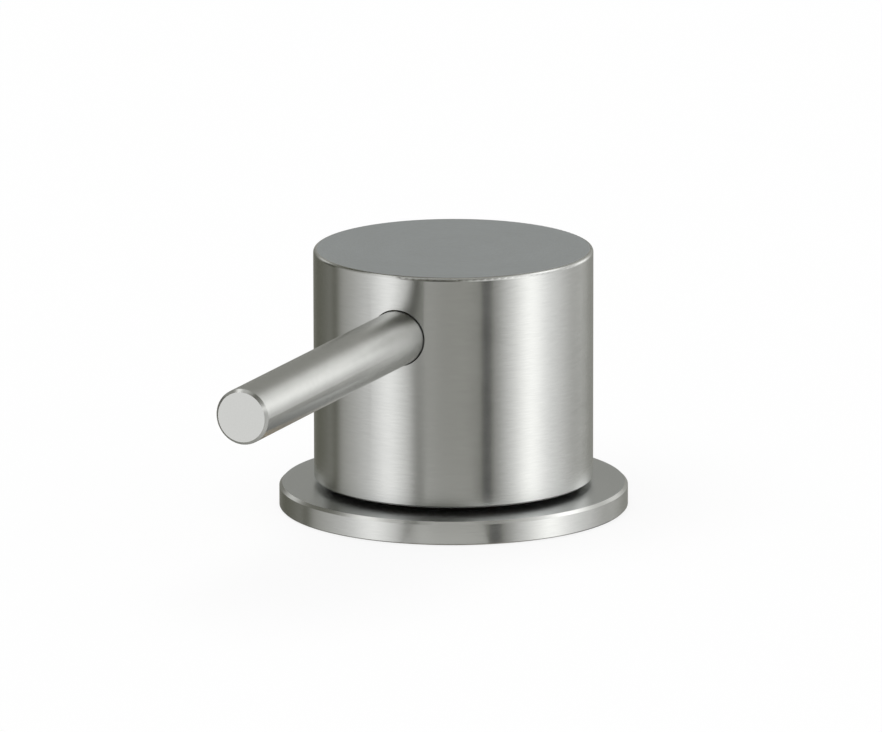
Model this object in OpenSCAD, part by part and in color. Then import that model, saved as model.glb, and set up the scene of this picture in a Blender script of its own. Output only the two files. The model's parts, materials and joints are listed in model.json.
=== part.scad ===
// Deck-mounted mixer control: a round knob with a straight pin lever over a flat flange, a progressive
// mixing cartridge inside it, and a threaded shank with its clamp set below the deck.
// Millimetres. The origin is on the deck, in the middle of the flange's underside. Z is up, and the
// closed lever points along -Y.

/* [Knob] */
// Outer diameter of the knob
knob_d = 48; // [46:0.5:60]
// Height of the knob
knob_h = 40; // [36:0.5:60]
// Thickness of the knob's skirt
knob_wall = 2; // [1.5:0.1:2.6]
// Thickness of the knob's top
knob_top_t = 4; // [3.4:0.1:6]
// Radius of the knob's top edge
knob_edge_r = 0.6; // [0.3:0.1:1.2]
// Chamfer on the knob's lower edge
knob_foot_chamfer = 0.3; // [0.1:0.1:0.6]
// Gap between the knob and the flange
knob_gap = 1; // [0.6:0.1:3]

/* [Lever] */
// Diameter of the lever
lever_d = 9.4; // [7:0.2:10]
// Length of the lever outside the knob
lever_l = 63.3; // [40:0.1:90]
// Depth of the lever's axis under the knob's top
lever_drop = 10.8; // [10.4:0.1:14]
// Bevel round the lever's flat end
lever_bevel = 0.5; // [0.2:0.1:1.5]
// Clearance round the lever in the knob's side
lever_hole_gap = 0.2; // [0.1:0.05:0.4]
// Thread diameter of the lever's stud and of the grub screw behind it
stud_d = 6; // [5:0.5:6.5]

/* [Flange] */
// Outer diameter of the flange
flange_d = 60; // [56:1:80]
// Thickness of the flange
flange_t = 4; // [3.4:0.1:6]
// Bevel on the flange's top edge
flange_bevel = 0.5; // [0.2:0.1:1]
// Middle diameter of the seal under the flange
deck_seal_d = 49; // [46:0.5:51]

/* [Body] */
// Thread diameter of the shank
shank_d = 33; // [32:0.5:35]
// Length of the shank below the deck
shank_l = 62; // [58:1:90]
// Height of the collar on the flange
collar_h = 10; // [9:0.5:11]
// Gap between the collar and the knob's bore
collar_gap = 1; // [0.6:0.1:1.2]
// Wall round the cartridge nut's thread
neck_wall = 3; // [2.5:0.1:3.6]
// Diameter of the circle that the three waterways lie on
port_circle_d = 15.2; // [14.6:0.1:15.8]
// Thread diameter of the three hose ports
port_thread_d = 10; // [8:0.5:10]
// Depth of the three hose ports
port_depth = 12; // [8:0.5:14]
// Bore of the three waterways
waterway_d = 5; // [3:0.5:6]

/* [Deck clamp] */
// Thickness of the deck that the clamp set is drawn for
deck_t = 30; // [20:1:32]
// Thickness of the rubber ring under the deck
gasket_t = 3; // [2:0.5:4]
// Thickness of the steel ring under it
washer_t = 2.5; // [2:0.5:4]
// Outer diameter of both rings
washer_d = 50; // [48:1:56]
// Width of the back nut across its flats
nut_flats = 46; // [45:0.5:50]
// Height of the back nut
nut_h = 10; // [8:0.5:11]
// Gap between the back nut and the steel ring
jack_gap = 1.5; // [0.5:0.5:3]
// Thread diameter of the jack screws
jack_d = 5; // [4:0.5:5.5]
// Length of the jack screws under their heads
jack_l = 14; // [13:0.5:20]

/* [Hub] */
// Diameter of the hub's boss
hub_d = 30; // [28:0.5:31]
// Thickness of the hub's plate under the knob's top
hub_plate_t = 2.4; // [2:0.1:2.8]
// Metal under the lever's seat
hub_lip = 1.7; // [1.2:0.1:2.5]
// Depth of the lever's seat in the boss
seat_depth = 1.8; // [1:0.1:2.5]
// Length of the grub screw
grub_l = 4; // [3:0.5:4.5]
// Number of screws through the plate
hub_screw_count = 3; // [3:1:3]
// Thread diameter of those screws
hub_screw_d = 2.5; // [2:0.1:2.6]
// Diameter of the circle they lie on
hub_screw_circle_d = 38; // [37:0.2:38.6]

/* [Cartridge] */
// Outer diameter of the cartridge
cartridge_d = 25; // [24.6:0.1:26]
// Wall of its housing
housing_wall = 1.5; // [1.2:0.1:1.7]
// Thickness of the housing's cover
cover_t = 2.5; // [2:0.1:4]
// Outer diameter of the housing's neck
neck_d = 16; // [14.8:0.1:17]
// Height of the neck over the housing's shoulder
neck_h = 5.6; // [5:0.1:6]
// Height of the cartridge nut's thread
nut_thread_h = 4.5; // [4:0.1:6]
// Height of its hexagon
nut_hex_h = 4; // [3:0.1:5]
// Thread diameter of the cartridge nut
nut_thread_d = 28; // [27.6:0.1:29]
// Width of its hexagon across the flats
nut_hex_flats = 30; // [29:0.5:32]
// Diameter of the stem
stem_d = 8; // [7:0.1:8.4]
// Number of teeth on its spline
spline_teeth = 20; // [16:2:24]
// Depth of the spline's teeth
spline_depth = 0.45; // [0.3:0.05:0.6]
// Diameter of the stem's flange
stem_flange_d = 18; // [16:0.5:20]
// Thickness of the stem's flange
stem_flange_t = 3; // [2:0.5:4]
// Width of the square under the flange
drive_square = 9; // [7:0.5:11]
// Thickness of the thrust washer
thrust_t = 0.6; // [0.4:0.1:1]
// Thickness of the disc carrier
carrier_t = 4.9; // [4.6:0.1:7]
// Diameter of the moving disc and its carrier
moving_disc_d = 21; // [20.6:0.1:21.4]
// Thickness of each ceramic disc
disc_t = 3.5; // [3:0.1:5]
// Diameter of the fixed disc
fixed_disc_d = 21.6; // [21.2:0.1:21.8]
// Thickness of the gasket under the fixed disc
port_gasket_t = 1; // [0.6:0.1:1.5]
// Height of the base
base_h = 8; // [7:0.1:12]
// Turn of the lever from closed to full hot
turn_deg = 100; // [90:5:110]

/* [Hidden] */
$fn = 72;

// Clearances
thread_gap = 0.05;   // between a thread's plain cylinder and its hole
turn_gap = 0.05;     // between pieces that turn on each other
seal_gap = 0.05;     // between a ring and the sides of its groove
fit_gap = 0.1;       // between pieces that are pushed together
shank_gap = 0.15;    // between the shank and what slides over it
chamber_gap = 0.15;  // round the cartridge in its chamber
lap_film = 0.02;     // water film between the lapped discs
hub_float = 0.8;     // between the hub and the cartridge nut
eps = 0.5;           // how far a cutter runs past the surface that it opens

// Finishes
steel = [0.66, 0.66, 0.63];
brass = [0.78, 0.63, 0.36];
zinc = [0.62, 0.63, 0.65];
plastic = [0.22, 0.23, 0.25];
slide_plastic = [0.88, 0.88, 0.86];
ceramic = [0.93, 0.92, 0.88];
rubber = [0.08, 0.08, 0.08];

// Knob and lever
knob_r = knob_d / 2;
bore_r = knob_r - knob_wall;
knob_z0 = flange_t + knob_gap;
knob_z1 = knob_z0 + knob_h;
ceiling_z = knob_z1 - knob_top_t;
lever_r = lever_d / 2;
lever_z = knob_z1 - lever_drop;
lever_tip = knob_r + lever_l;
hub_r = hub_d / 2;
lever_seat = hub_r - seat_depth;

// Levels of the stack, from the hub down
hub_z0 = lever_z - lever_r - hub_lip;
plate_z0 = ceiling_z - hub_plate_t;
nut_z1 = hub_z0 - hub_float;
hex_z0 = nut_z1 - nut_hex_h;
shoulder_z = hex_z0 - nut_thread_h;
housing_ceiling = shoulder_z - cover_t;
thrust_z1 = housing_ceiling - turn_gap;
stem_flange_z1 = thrust_z1 - thrust_t;
carrier_z1 = stem_flange_z1 - stem_flange_t;
moving_z1 = carrier_z1 - carrier_t;
moving_z0 = moving_z1 - disc_t;
fixed_z1 = moving_z0 - lap_film;
fixed_z0 = fixed_z1 - disc_t;
base_z1 = fixed_z0 - port_gasket_t;
base_z0 = base_z1 - base_h;
neck_z1 = shoulder_z + neck_h;
body_z1 = hex_z0 - 0.4;

// Stem and hub
stem_r = stem_d / 2;
spline_r = stem_r - 0.15;
socket_depth = 3.2;
stem_z1 = plate_z0 - 0.5;
stud_r = stud_d / 2;
stud_end = stem_r + grub_l + 0.3;
o_ring_cord = 1.1;
stem_bore_r = stem_r + turn_gap;
stem_groove_h = o_ring_cord + 2 * seal_gap;
stem_groove_r = stem_bore_r - lap_film - o_ring_cord - seal_gap;
stem_ring_levels = [neck_z1 - 1.6, neck_z1 - 4.6];

// Stops on top of the housing's neck
neck_r = neck_d / 2;
stop_wall_t = 1.7;
stop_wall_h = 2.2;
stop_tab_deg = 30;
stop_play = 1;
stop_wall_r = neck_r - 0.3;
stop_ring_r = stop_wall_r - stop_wall_t - 0.3;
stop_tab_r = stop_wall_r - 0.2;
stop_ring_h = 1.9;

// Cartridge
cartridge_r = cartridge_d / 2;
inner_r = cartridge_r - housing_wall;
moving_disc_r = moving_disc_d / 2;
fixed_disc_r = fixed_disc_d / 2;
port_circle_r = port_circle_d / 2;
cold_port = 30;
hot_port = 150;
outlet_port = 270;
port_angles = [cold_port, hot_port, outlet_port];
channel_w = 3.4;             // width of the slots through the fixed disc
channel_r0 = port_circle_r - channel_w / 2;
cold_slot = [35, 65];        // where the slots begin and end, in degrees
hot_slot = [90, 125];
mixing_half_deg = 30;        // half the width of the moving disc's hollow
mixing_depth = 1.8;
outlet_r = 2.4;
key_angles = [90, 210, 330];
key_w = 3;
key_r0 = port_circle_r + channel_w / 2 + 0.6;
key_h = disc_t - 1;
grip_angles = [60, 180, 300];
grip_r0 = moving_disc_r - 2;
grip_r1 = moving_disc_r - 0.4;
grip_h = 1.4;
foot_h = 3;
snap_w = 5;
snap_h = 2;
snap_out = 0.9;
peg_angles = [90, 210];
peg_circle_r = 9.4;
peg_r = 1.1;
peg_h = 2;
base_seal_cord = 1.6;
base_seal_r = 3.2;

// Body
shank_r = shank_d / 2;
shank_z0 = -shank_l;
collar_r = bore_r - collar_gap;
collar_z1 = flange_t + collar_h;
chamber_r = cartridge_r + chamber_gap;
nut_thread_r = nut_thread_d / 2;
body_neck_r = nut_thread_r + thread_gap + neck_wall;
port_r = port_thread_d / 2;
port_z1 = shank_z0 + port_depth;
glide_t = 1.6;
glide_h = 3;
glide_z = knob_z0 + 4;
collar_seal_cord = 2;
collar_seal_r = (shank_r + collar_r) / 2;
undercut_h = 2.5;
undercut_depth = 1;

// Flange and clamp set
flange_r = flange_d / 2;
flange_bore_r = shank_r + shank_gap;
deck_seal_cord = 2.4;
deck_seal_r = deck_seal_d / 2;
washer_r = washer_d / 2;
gasket_z0 = -deck_t - gasket_t;
washer_z0 = gasket_z0 - washer_t;
back_nut_z1 = washer_z0 - jack_gap;
back_nut_z0 = back_nut_z1 - nut_h;
jack_r = jack_d / 2;
jack_circle_r = (shank_r + nut_flats / sqrt(3)) / 2;
jack_angles = [60, 180, 300];
jack_head_h = 3.5;
jack_head_flats = 1.6 * jack_d;

// Sets its children, drawn along Z, along the lever: their Z runs out of the knob towards -Y.
module along_lever() translate([0, 0, lever_z]) rotate([90, 0, 0]) children();

// Repeats its children at the given angles round Z.
module at_angles(angles) for (angle = angles) rotate([0, 0, angle]) children();

// A plain tube between two levels.
module tube(outer, inner, z0, z1) rotate_extrude()
    translate([inner, z0]) square([outer - inner, z1 - z0]);

// A piece of a tube that spans the angles from start to end.
module arc_tube(outer, inner, z0, z1, start, end) rotate([0, 0, start]) rotate_extrude(angle = end - start)
    translate([inner, z0]) square([outer - inner, z1 - z0]);

// A plain cylinder between two levels.
module bar(r, z0, z1) translate([0, 0, z0]) cylinder(r = r, h = z1 - z0);

// A straight key or lug: a block that lies across the radius between two radii.
module radial_block(r0, r1, width, z0, z1) translate([r0, -width / 2, z0]) cube([r1 - r0, width, z1 - z0]);

// A ring of round cord.
module o_ring(r, cord, z) translate([0, 0, z]) rotate_extrude() translate([r, 0]) circle(d = cord);

// The groove for such a ring between two levels.
module cord_groove(r, cord, z0, z1) tube(r + cord / 2 + seal_gap, r - cord / 2 - seal_gap, z0, z1);

// A hexagonal bar by its width across the flats.
module hexagon_bar(flats, z0, z1) translate([0, 0, z0]) cylinder(r = flats / sqrt(3), h = z1 - z0, $fn = 6);

// Outline of a splined shaft, or of its socket where grow is above zero: four corners for each tooth.
function spline_outline(grow) = [
    for (tooth = [0 : spline_teeth - 1])
        for (corner = [[-0.32, 0], [-0.15, 1], [0.15, 1], [0.32, 0]])
            let (
                angle = (tooth + corner[0]) * 360 / spline_teeth,
                r = spline_r - spline_depth * (1 - corner[1]) + grow
            )
            [r * cos(angle), r * sin(angle)]
];

// The three slots and holes through a plate on the fixed side: cold, hot and the middle outlet.
module disc_ports(z0, z1) {
    arc_tube(channel_r0 + channel_w, channel_r0, z0, z1, cold_slot[0], cold_slot[1]);
    arc_tube(channel_r0 + channel_w, channel_r0, z0, z1, hot_slot[0], hot_slot[1]);
    bar(outlet_r, z0, z1);
}

// Half section of the knob's steel, with the round top edge and the chamfered foot.
module knob_section() {
    difference() {
        translate([0, knob_z0]) square([knob_r, knob_h]);
        translate([0, knob_z0 - eps]) square([bore_r, ceiling_z - knob_z0 + eps]);
        translate([knob_r - knob_edge_r, knob_z1 - knob_edge_r]) difference() {
            square(knob_edge_r + eps);
            circle(r = knob_edge_r);
        }
        translate([knob_r, knob_z0]) rotate(45) square(knob_foot_chamfer * sqrt(2), center = true);
    }
}

module knob_shell() color(steel) difference() {
    rotate_extrude() knob_section();
    along_lever() bar(lever_r + lever_hole_gap, hub_r, knob_r + eps);
    at_angles(hub_screw_angles()) translate([hub_screw_circle_d / 2, 0, 0])
        bar(hub_screw_d / 2 + thread_gap, ceiling_z - eps, ceiling_z + hub_screw_reach() + 0.2);
}

// The lever is turned from one bar: bevelled end, long shank, shoulder and stud.
module lever() color(steel) along_lever() rotate_extrude() polygon([
    [0, stud_end],
    [stud_r - 0.4, stud_end],
    [stud_r, stud_end + 0.4],
    [stud_r, lever_seat],
    [lever_r - 0.3, lever_seat],
    [lever_r, lever_seat + 0.3],
    [lever_r, lever_tip - lever_bevel],
    [lever_r - lever_bevel, lever_tip],
    [0, lever_tip],
]);

// Angles of the hub's screws, spread so that none stands in the lever's way.
function hub_screw_angles() = [for (i = [0 : hub_screw_count - 1]) 90 + i * 360 / hub_screw_count];

// How far those screws go into the knob's top.
function hub_screw_reach() = knob_top_t - 1.2;

module knob_hub() color(brass) difference() {
    union() {
        bar(hub_r, hub_z0, ceiling_z);
        bar(bore_r - fit_gap, plate_z0, ceiling_z);
    }
    translate([0, 0, hub_z0 - eps]) linear_extrude(stem_z1 + 0.2 - hub_z0 + eps)
        polygon(spline_outline(turn_gap));
    along_lever() {
        bar(stud_r + thread_gap, 0, lever_seat + eps);
        bar(lever_r + fit_gap, lever_seat, bore_r);
    }
    at_angles(hub_screw_angles()) translate([hub_screw_circle_d / 2, 0, 0])
        screw_form(thread_gap, eps);
}

// A countersunk screw seen from below: its head in the plate's underside, its end in the knob's top.
module screw_form(grow, over) {
    head_r = 0.94 * hub_screw_d;
    shank = hub_screw_d / 2;
    end_z = over > 0 ? ceiling_z + over : ceiling_z + hub_screw_reach();
    rotate_extrude() polygon([
        [0, plate_z0 - over],
        [head_r + grow, plate_z0 - over],
        [head_r + grow, plate_z0 + 0.2],
        [shank + grow, plate_z0 + 0.2 + head_r - shank],
        [shank + grow, end_z],
        [0, end_z],
    ]);
}

module hub_screws() color(zinc) at_angles(hub_screw_angles()) translate([hub_screw_circle_d / 2, 0, 0])
    difference() {
        screw_form(0, 0);
        hexagon_bar(0.6 * hub_screw_d, plate_z0 - eps, plate_z0 + 1);
    }

// The grub screw is cupped at the end that bites the spline, and has its socket on the lever's side.
module hub_grub_screw() color(zinc) along_lever() difference() {
    bar(stud_r, stem_r + 0.05, stem_r + 0.05 + grub_l);
    translate([0, 0, stem_r - eps]) cylinder(r1 = stud_r * 0.75, r2 = 0.3, h = 1 + eps);
    hexagon_bar(stud_r, stem_r + grub_l - 1.8, stem_r + grub_l + eps);
}

module cartridge_stem() color(brass) difference() {
    union() {
        translate([0, 0, neck_z1]) linear_extrude(stem_z1 - neck_z1) polygon(spline_outline(0));
        bar(stem_r, stem_flange_z1, neck_z1);
        bar(stem_flange_d / 2, carrier_z1, stem_flange_z1);
        translate([-drive_square / 2, -drive_square / 2, carrier_z1 - socket_depth])
            cube([drive_square, drive_square, socket_depth]);
    }
    for (z = stem_ring_levels)
        tube(stem_r + eps, stem_groove_r, z - stem_groove_h / 2, z + stem_groove_h / 2);
}

module stem_o_rings() color(rubber) for (z = stem_ring_levels)
    o_ring(stem_groove_r + seal_gap + o_ring_cord / 2, o_ring_cord, z);

module thrust_washer() color(slide_plastic)
    tube(stem_flange_d / 2, stem_r + fit_gap, stem_flange_z1, thrust_z1);

// The stop ring sits on the foot of the spline, and its tab runs in the gap of the housing's stop wall.
module stop_ring() color(brass) translate([0, 0, neck_z1 + turn_gap]) difference() {
    union() {
        bar(stop_ring_r, 0, stop_ring_h);
        arc_tube(stop_tab_r, stem_r + 0.8, 0, stop_ring_h, -stop_tab_deg / 2, stop_tab_deg / 2);
    }
    translate([0, 0, -eps]) linear_extrude(stop_ring_h + 2 * eps) polygon(spline_outline(turn_gap));
}

module disc_carrier() color(plastic) {
    difference() {
        bar(moving_disc_r, moving_z1, carrier_z1);
        translate([0, 0, carrier_z1 - socket_depth - 0.1]) linear_extrude(socket_depth + 0.1 + eps)
            square(drive_square + 2 * fit_gap, center = true);
        at_angles(key_angles) translate([moving_disc_r, 0, 0]) bar(1.6, moving_z1 + 1.5, carrier_z1 + eps);
    }
    at_angles(grip_angles) radial_block(grip_r0, grip_r1, key_w, moving_z1 - grip_h, moving_z1 + 1);
}

// The hollow in its lower face joins the middle outlet to the cold slot, then to both, then to the hot.
module moving_disc() color(ceramic) difference() {
    bar(moving_disc_r, moving_z0, moving_z1);
    at_angles(grip_angles) radial_block(
        grip_r0 - fit_gap, moving_disc_r + eps, key_w + 2 * fit_gap, moving_z1 - grip_h - fit_gap, moving_z1 + eps
    );
    bar(outlet_r, moving_z0 - eps, moving_z0 + mixing_depth);
    intersection() {
        bar(channel_r0 + channel_w, moving_z0 - eps, moving_z0 + mixing_depth);
        translate([0, 0, moving_z0 - eps]) linear_extrude(mixing_depth + eps) polygon([
            [0, 0],
            [moving_disc_r, -moving_disc_r * tan(mixing_half_deg)],
            [moving_disc_r, moving_disc_r * tan(mixing_half_deg)],
        ]);
    }
}

module fixed_disc() color(ceramic) difference() {
    bar(fixed_disc_r, fixed_z0, fixed_z1);
    disc_ports(fixed_z0 - eps, fixed_z1 + eps);
    at_angles(key_angles)
        radial_block(key_r0 - fit_gap, fixed_disc_r + eps, key_w + 2 * fit_gap, fixed_z0 - eps, fixed_z0 + key_h);
}

module port_gasket() color(rubber) difference() {
    bar(fixed_disc_r, base_z1, fixed_z0);
    disc_ports(base_z1 - eps, fixed_z0 + eps);
    at_angles(key_angles)
        radial_block(key_r0 - fit_gap, fixed_disc_r + eps, key_w + 2 * fit_gap, base_z1 - eps, fixed_z0 + eps);
}

// The base leads each slot down to its own port: arcs on top, round holes below, a slanted outlet.
module cartridge_base() color(plastic) {
    slant = atan2(port_circle_r, base_h);
    split_z = base_z1 - 3;
    difference() {
        union() {
            bar(cartridge_r, base_z0, base_z0 + foot_h);
            bar(inner_r - fit_gap, base_z0 + foot_h, base_z1);
            at_angles(key_angles) intersection() {
                radial_block(key_r0, inner_r, key_w, base_z1 - 1, fixed_z0 + key_h - 0.3);
                bar(fixed_disc_r, base_z1 - 1, fixed_z0 + key_h);
            }
            at_angles(key_angles) intersection() {
                radial_block(inner_r - 1.5, inner_r + snap_out, snap_w, snap_z0(), snap_z0() + snap_h);
                bar(inner_r + snap_out, snap_z0(), snap_z0() + snap_h);
            }
            at_angles(peg_angles) translate([peg_circle_r, 0, 0]) bar(peg_r, base_z0 - peg_h, base_z0 + 1);
        }
        arc_tube(channel_r0 + channel_w, channel_r0, split_z, base_z1 + eps, cold_port - 12, cold_slot[1]);
        arc_tube(channel_r0 + channel_w, channel_r0, split_z, base_z1 + eps, hot_slot[0], hot_port + 12);
        at_angles([cold_port, hot_port]) translate([port_circle_r, 0, 0])
            bar(channel_w / 2 - 0.1, base_z0 - eps, split_z + eps);
        bar(outlet_r, base_z1 - 1, base_z1 + eps);
        rotate([0, 0, outlet_port]) {
            translate([0, 0, base_z1]) rotate([0, 180 - slant, 0]) bar(1.7, 0.4, base_h / cos(slant) - 0.4);
            translate([port_circle_r, 0, 0]) bar(2.1, base_z0 - eps, base_z0 + 1.5);
        }
        at_angles(port_angles) translate([port_circle_r, 0, 0]) cord_groove(
            base_seal_r, base_seal_cord, base_z0 - eps, base_z0 + base_seal_cord + 2 * seal_gap
        );
    }
}

// Level of the base's snap lugs.
function snap_z0() = base_z0 + foot_h + 1.2;

module base_seals() color(rubber) at_angles(port_angles) translate([port_circle_r, 0, 0])
    o_ring(base_seal_r, base_seal_cord, base_z0 + base_seal_cord / 2 + seal_gap);

module cartridge_housing() color(plastic) difference() {
    union() {
        bar(cartridge_r, base_z0 + foot_h, shoulder_z);
        bar(neck_r, shoulder_z, neck_z1);
        arc_tube(
            stop_wall_r, stop_wall_r - stop_wall_t, neck_z1 - 1, neck_z1 + stop_wall_h,
            turn_deg + stop_tab_deg / 2 + stop_play, 360 - stop_tab_deg / 2 - stop_play
        );
    }
    bar(inner_r, base_z0 + foot_h - eps, housing_ceiling);
    bar(stem_bore_r, housing_ceiling - eps, neck_z1 + eps);
    at_angles(key_angles)
        radial_block(inner_r - 1, cartridge_r + eps, snap_w + 0.4, snap_z0() - 0.1, snap_z0() + snap_h + 0.3);
}

module cartridge_nut() color(brass) difference() {
    union() {
        bar(nut_thread_r, shoulder_z, hex_z0);
        intersection() {
            hexagon_bar(nut_hex_flats, hex_z0, nut_z1);
            cylinder_chamfered(nut_hex_flats / sqrt(3), hex_z0, nut_z1, 0.8);
        }
    }
    bar(neck_r + 0.2, shoulder_z - eps, nut_z1 + eps);
}

// A cylinder with a chamfered upper edge, which rounds a hexagon's corners as turning does.
module cylinder_chamfered(r, z0, z1, chamfer) rotate_extrude() polygon([
    [0, z0], [r, z0], [r, z1 - chamfer], [r - 2 * chamfer, z1], [0, z1],
]);

// Half section of the body before it is drilled: collar, neck and shank with the undercut of its thread.
module body_section() polygon([
    [0, shank_z0],
    [shank_r - 1, shank_z0],
    [shank_r, shank_z0 + 1],
    [shank_r, -undercut_h - undercut_depth],
    [shank_r - undercut_depth, -undercut_h],
    [shank_r - undercut_depth, 0],
    [shank_r, undercut_depth],
    [shank_r, flange_t],
    [collar_r, flange_t],
    [collar_r, collar_z1 - 1],
    [collar_r - 1, collar_z1],
    [body_neck_r + 0.8, collar_z1],
    [body_neck_r, collar_z1 + 0.8],
    [body_neck_r, body_z1 - 0.5],
    [body_neck_r - 0.5, body_z1],
    [0, body_z1],
]);

module valve_body() color(brass) difference() {
    rotate_extrude() body_section();
    bar(chamber_r, base_z0, body_z1 + eps);
    bar(nut_thread_r + thread_gap, shoulder_z - 0.6, body_z1 + eps);
    at_angles(port_angles) translate([port_circle_r, 0, 0]) {
        bar(waterway_d / 2, shank_z0 - eps, base_z0 + eps);
        bar(port_r, shank_z0 - eps, port_z1);
        translate([0, 0, shank_z0 - eps]) cylinder(r1 = port_r + 0.5 + eps, r2 = port_r, h = 0.5 + eps);
    }
    at_angles(peg_angles) translate([peg_circle_r, 0, 0])
        bar(peg_r + fit_gap, base_z0 - peg_h - 2 * fit_gap, base_z0 + eps);
    tube(
        collar_r + eps, bore_r - turn_gap - glide_t - fit_gap,
        glide_z - glide_h / 2 - fit_gap, glide_z + glide_h / 2 + fit_gap
    );
    cord_groove(collar_seal_r, collar_seal_cord, flange_t - eps, flange_t + collar_seal_cord + 2 * seal_gap);
}

module glide_ring() color(slide_plastic)
    tube(bore_r - turn_gap, bore_r - turn_gap - glide_t, glide_z - glide_h / 2, glide_z + glide_h / 2);

module collar_seal() color(rubber)
    o_ring(collar_seal_r, collar_seal_cord, flange_t + collar_seal_cord / 2 + seal_gap);

module deck_flange() color(steel) difference() {
    rotate_extrude() polygon([
        [flange_bore_r + 0.4, 0],
        [flange_r - 0.2, 0],
        [flange_r, 0.2],
        [flange_r, flange_t - flange_bevel],
        [flange_r - flange_bevel, flange_t],
        [flange_bore_r, flange_t],
        [flange_bore_r, 0.4],
    ]);
    cord_groove(deck_seal_r, deck_seal_cord, -eps, deck_seal_cord + 2 * seal_gap);
}

module deck_seal() color(rubber) o_ring(deck_seal_r, deck_seal_cord, deck_seal_cord / 2 + seal_gap);

module clamp_gasket() color(rubber) tube(washer_r, shank_r + shank_gap, gasket_z0, -deck_t);

module clamp_washer() color(zinc) tube(washer_r, shank_r + shank_gap, washer_z0, gasket_z0);

module back_nut() color(brass) difference() {
    intersection() {
        hexagon_bar(nut_flats, back_nut_z0, back_nut_z1);
        translate([0, 0, back_nut_z0 + back_nut_z1]) mirror([0, 0, 1])
            cylinder_chamfered(nut_flats / sqrt(3), back_nut_z0, back_nut_z1, 1);
    }
    bar(shank_r + thread_gap, back_nut_z0 - eps, back_nut_z1 + eps);
    at_angles(jack_angles) translate([jack_circle_r, 0, 0])
        bar(jack_r + thread_gap, back_nut_z0 - eps, back_nut_z1 + eps);
}

module jack_screws() color(zinc) at_angles(jack_angles) translate([jack_circle_r, 0, 0]) {
    bar(jack_r, washer_z0 - jack_l, washer_z0);
    intersection() {
        hexagon_bar(jack_head_flats, washer_z0 - jack_l - jack_head_h, washer_z0 - jack_l);
        bar(0.56 * jack_head_flats, washer_z0 - jack_l - jack_head_h, washer_z0 - jack_l);
    }
}

knob_shell();
lever();
deck_flange();
knob_hub();
hub_screws();
hub_grub_screw();
cartridge_stem();
stem_o_rings();
thrust_washer();
stop_ring();
disc_carrier();
moving_disc();
valve_body();
cartridge_housing();
cartridge_nut();
fixed_disc();
port_gasket();
cartridge_base();
base_seals();
glide_ring();
collar_seal();
deck_seal();
clamp_gasket();
clamp_washer();
back_nut();
jack_screws();
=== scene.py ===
"""Looks for a deck-mounted mixer tap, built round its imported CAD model.

Turned brushed steel for the knob, lever and flange, brass, zinc, rubber, plastic and ceramic for the
pieces inside and below the deck, real screw threads below, and a small studio whose soft boxes give the
steel its bands of light. Everything is in metres, in the frame of the CAD.
"""

from __future__ import annotations

import json
import logging
import math
from dataclasses import dataclass, field, replace
from enum import Enum
from typing import Any, Iterable, Mapping, Optional, Sequence, Union

import bmesh
import bpy
from mathutils import Matrix, Vector

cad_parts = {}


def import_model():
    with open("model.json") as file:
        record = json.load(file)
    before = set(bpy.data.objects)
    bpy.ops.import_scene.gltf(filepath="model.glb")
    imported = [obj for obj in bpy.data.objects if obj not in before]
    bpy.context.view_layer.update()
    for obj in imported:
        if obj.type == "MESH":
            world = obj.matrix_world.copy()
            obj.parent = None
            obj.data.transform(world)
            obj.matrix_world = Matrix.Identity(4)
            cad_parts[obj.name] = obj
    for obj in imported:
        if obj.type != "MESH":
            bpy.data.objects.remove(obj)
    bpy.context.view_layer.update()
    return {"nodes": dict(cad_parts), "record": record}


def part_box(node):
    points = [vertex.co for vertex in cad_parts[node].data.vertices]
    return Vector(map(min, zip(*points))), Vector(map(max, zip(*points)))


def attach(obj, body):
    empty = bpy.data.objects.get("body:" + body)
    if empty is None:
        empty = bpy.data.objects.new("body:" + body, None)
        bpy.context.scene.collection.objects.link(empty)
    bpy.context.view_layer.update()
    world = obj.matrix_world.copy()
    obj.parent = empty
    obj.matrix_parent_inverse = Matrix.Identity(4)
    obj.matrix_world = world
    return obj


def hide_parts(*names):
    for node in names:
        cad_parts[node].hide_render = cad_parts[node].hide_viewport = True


LOG = logging.getLogger("mixer_tap")
MM = 0.001

Colour = tuple[float, float, float]
Key = Union[str, int]
Value = Union[float, int, Sequence[float], "Wire"]


class Wire:
    """One output of a node tree. Arithmetic on it adds Math nodes to its tree."""

    def __init__(self, graph: "Graph", socket: Optional[bpy.types.NodeSocket]) -> None:
        """Wraps a socket of the given tree."""
        self.graph = graph
        self.socket = socket

    def maths(self, operation: str, *values: Value) -> "Wire":
        """Adds a Math node.

        Args:
            operation: Blender's name of the operation.
            values: the node's inputs in their order.

        Returns:
            The node's result.
        """
        return self.graph.node("ShaderNodeMath", {"operation": operation}, dict(enumerate(values)))

    def __add__(self, other: Value) -> "Wire":
        """self + other."""
        return self.maths("ADD", self, other)

    def __radd__(self, other: Value) -> "Wire":
        """other + self."""
        return self.maths("ADD", other, self)

    def __sub__(self, other: Value) -> "Wire":
        """self - other."""
        return self.maths("SUBTRACT", self, other)

    def __rsub__(self, other: Value) -> "Wire":
        """other - self."""
        return self.maths("SUBTRACT", other, self)

    def __mul__(self, other: Value) -> "Wire":
        """self * other."""
        return self.maths("MULTIPLY", self, other)

    def __rmul__(self, other: Value) -> "Wire":
        """other * self."""
        return self.maths("MULTIPLY", other, self)

    def __truediv__(self, other: Value) -> "Wire":
        """self / other."""
        return self.maths("DIVIDE", self, other)

    def __neg__(self) -> "Wire":
        """-self."""
        return self.maths("MULTIPLY", self, -1.0)

    def __gt__(self, other: Value) -> "Wire":
        """1 where self is greater than other, and else 0."""
        return self.maths("GREATER_THAN", self, other)

    def __lt__(self, other: Value) -> "Wire":
        """1 where self is less than other, and else 0."""
        return self.maths("LESS_THAN", self, other)


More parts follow.
